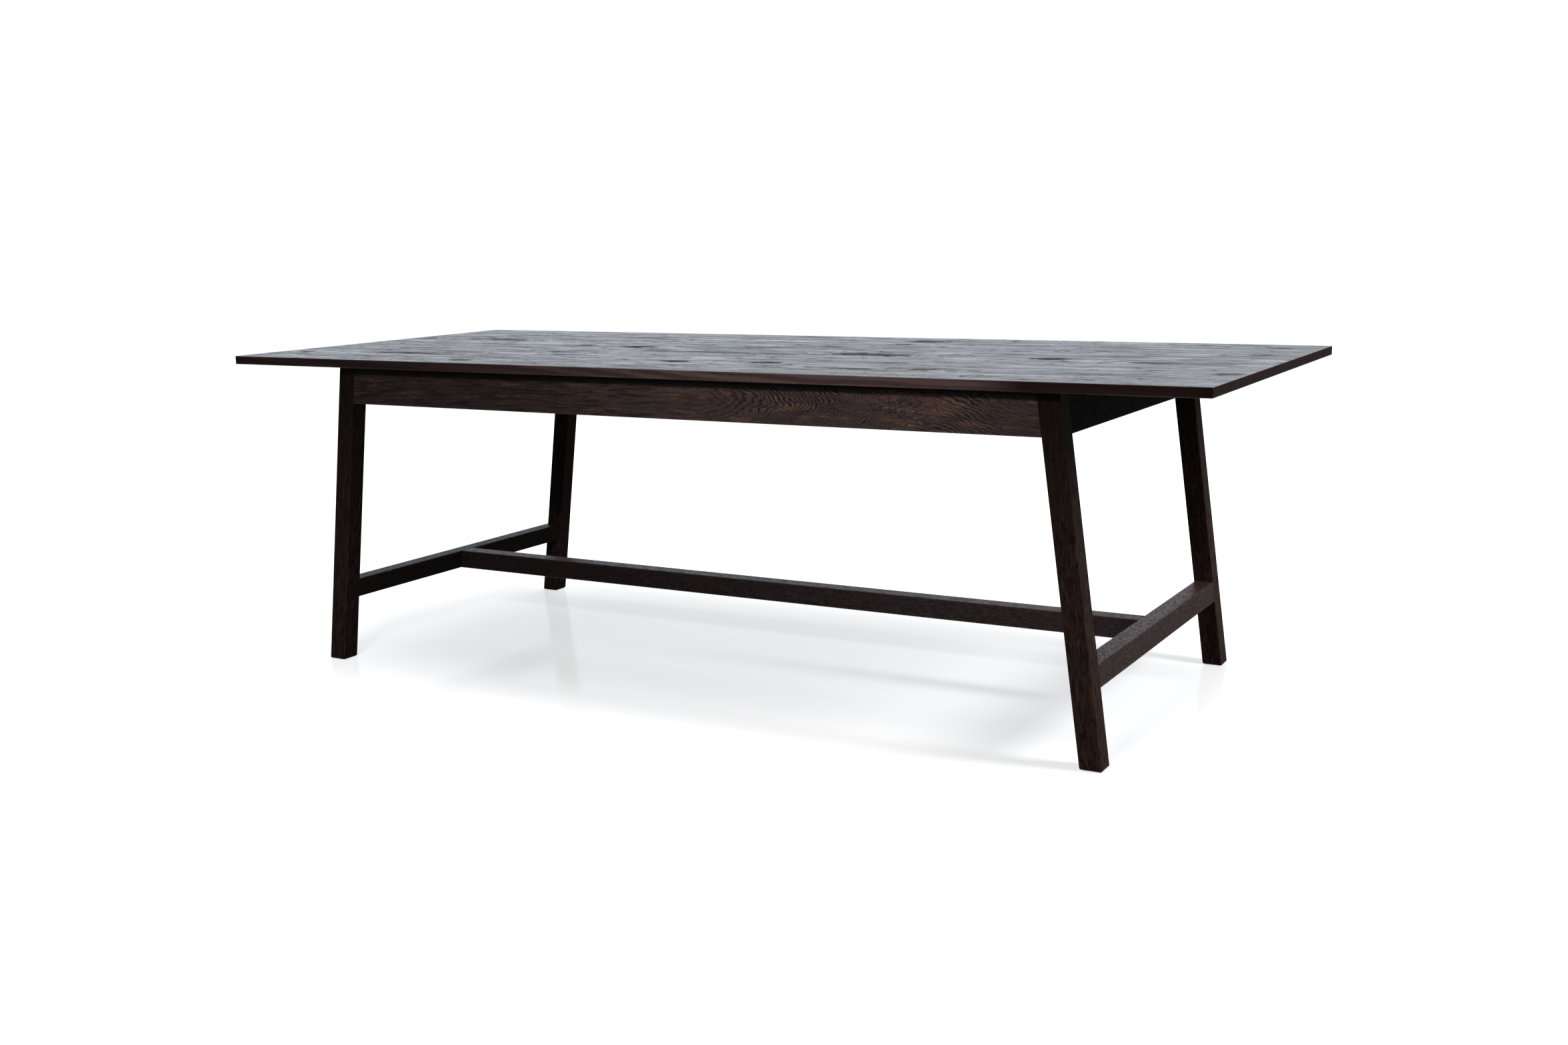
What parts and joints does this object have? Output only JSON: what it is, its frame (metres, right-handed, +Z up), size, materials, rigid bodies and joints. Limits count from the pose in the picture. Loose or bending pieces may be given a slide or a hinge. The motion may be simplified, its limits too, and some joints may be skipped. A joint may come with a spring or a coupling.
{
  "type": "dining table",
  "caption": "Long dining table with a thin plank top, square legs that lean out lengthwise, aprons under the top and a low H stretcher, in dark stained oak.",
  "frame": {"origin": "on the floor, under the middle of the top", "axes": "+X along the length to the right-hand end, +Y to the rear, away from the viewer, +Z up"},
  "size_m": [2.4, 1, 0.75],
  "materials": {
    "top_oak": "dark smoked oak, satin lacquer",
    "frame_oak": "dark smoked oak, satin lacquer",
    "inner_wood": "brown stain, no lacquer",
    "screw_steel": "zinc plated",
    "glide_nylon": "moulded nylon"
  },
  "bodies": {
    "root": {"apron_buttons": "inner_wood", "apron_front": "frame_oak", "apron_left": "frame_oak", "apron_rear": "frame_oak", "apron_right": "frame_oak", "bearer_1": "inner_wood", "bearer_2": "inner_wood", "bearer_3": "inner_wood", "bearer_screws": "screw_steel", "button_screws": "screw_steel", "centre_stretcher": "frame_oak", "corner_block_front_left": "inner_wood", "corner_block_front_right": "inner_wood", "corner_block_rear_left": "inner_wood", "corner_block_rear_right": "inner_wood", "corner_block_screws": "screw_steel", "end_apron_buttons": "inner_wood", "end_stretcher_left": "frame_oak", "end_stretcher_right": "frame_oak", "foot_glide_front_left": "glide_nylon", "foot_glide_front_right": "glide_nylon", "foot_glide_rear_left": "glide_nylon", "foot_glide_rear_right": "glide_nylon", "leg_front_left": "frame_oak", "leg_front_right": "frame_oak", "leg_rear_left": "frame_oak", "leg_rear_right": "frame_oak", "plank_tongue_1": "inner_wood", "plank_tongue_2": "inner_wood", "plank_tongue_3": "inner_wood", "plank_tongue_4": "inner_wood", "plank_tongue_5": "inner_wood", "plank_tongue_6": "inner_wood", "plank_tongue_7": "inner_wood", "top_plank_1": "top_oak", "top_plank_2": "top_oak", "top_plank_3": "top_oak", "top_plank_4": "top_oak", "top_plank_5": "top_oak", "top_plank_6": "top_oak", "top_plank_7": "top_oak", "top_plank_8": "top_oak"}
  },
  "joints": []
}
